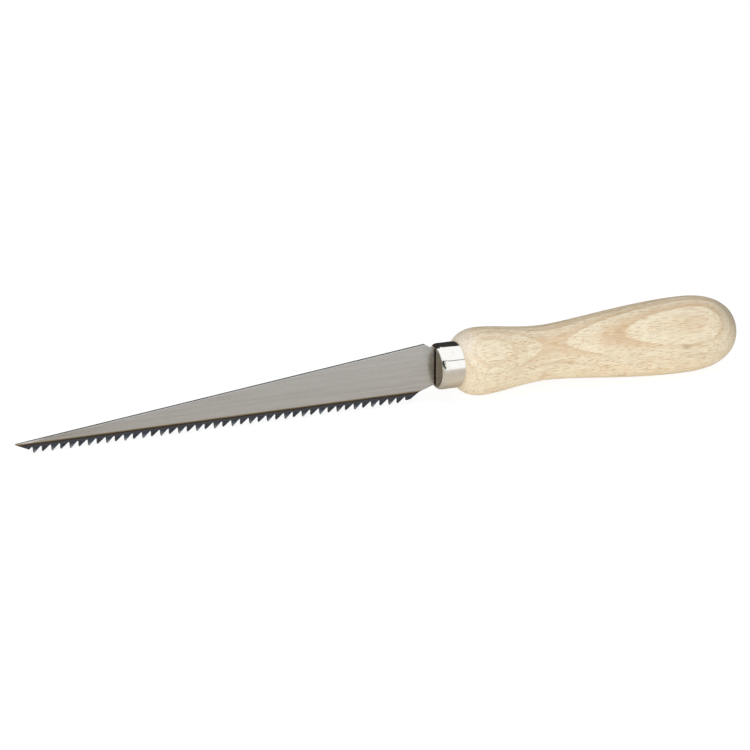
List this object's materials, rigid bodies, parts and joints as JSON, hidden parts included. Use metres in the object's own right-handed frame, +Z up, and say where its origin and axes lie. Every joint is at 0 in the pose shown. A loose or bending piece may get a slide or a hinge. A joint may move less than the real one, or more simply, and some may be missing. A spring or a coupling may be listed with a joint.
{
  "type": "keyhole saw",
  "caption": "Keyhole saw: a narrow tapered push-cut blade with set, hardened teeth, a slotted ferrule cap and a turned beech handle, for cutting small holes and curves.",
  "frame": {"origin": "middle of the ferrule's front face, on the handle's axis, where the blade leaves the handle", "axes": "+X along the handle's axis from the blade's point to the butt, +Z up towards the blade's back, so the teeth point to -Z, and +Y square to the blade's side"},
  "size_m": [0.2644, 0.0268, 0.0269],
  "materials": {
    "blade_steel": "satin, ground lengthwise, teeth blued by hardening",
    "ferrule_nickel": "polished nickel plate",
    "handle_beech": "sanded, thin satin varnish"
  },
  "bodies": {
    "root": {"blade": "blade_steel", "ferrule": "ferrule_nickel", "handle": "handle_beech"}
  },
  "joints": []
}
